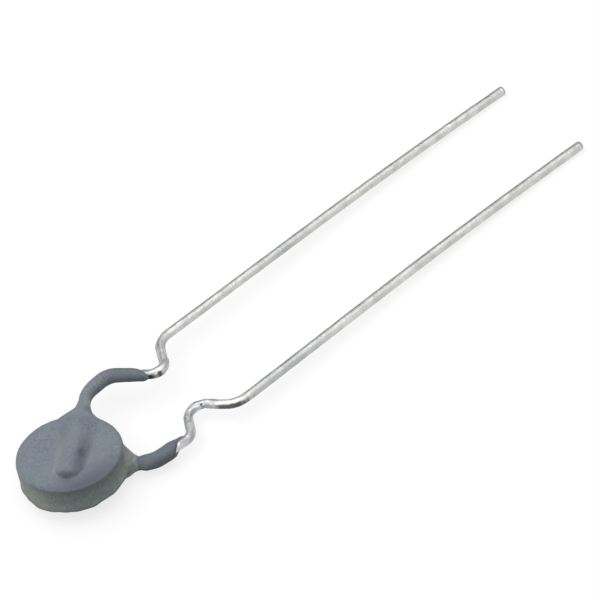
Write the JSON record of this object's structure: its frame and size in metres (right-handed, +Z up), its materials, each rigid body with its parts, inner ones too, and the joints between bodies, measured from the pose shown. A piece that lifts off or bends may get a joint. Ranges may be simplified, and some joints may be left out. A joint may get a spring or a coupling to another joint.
{
  "type": "disc thermistor",
  "caption": "Disc thermistor dipped in matt blue-grey lacquer, with long parallel wire leads kinked as stand-offs, lying on its leads and lower face.",
  "frame": {"origin": "middle of the part's bounding box, on the surface that it lies on", "axes": "+X along the leads from the disc to their tips, +Y towards the upper lead, +Z up from the surface"},
  "size_m": [0.0428, 0.0076, 0.0034],
  "materials": {
    "lacquer": "matte",
    "ceramic": "matte",
    "electrode_metal": "satin",
    "solder": "satin",
    "tinned_wire": "satin"
  },
  "bodies": {
    "root": {"coating": "lacquer", "ceramic_disc": "ceramic", "upper_electrode": "electrode_metal", "lower_electrode": "electrode_metal", "upper_solder": "solder", "lower_solder": "solder", "upper_lead": "tinned_wire", "lower_lead": "tinned_wire"}
  },
  "joints": []
}
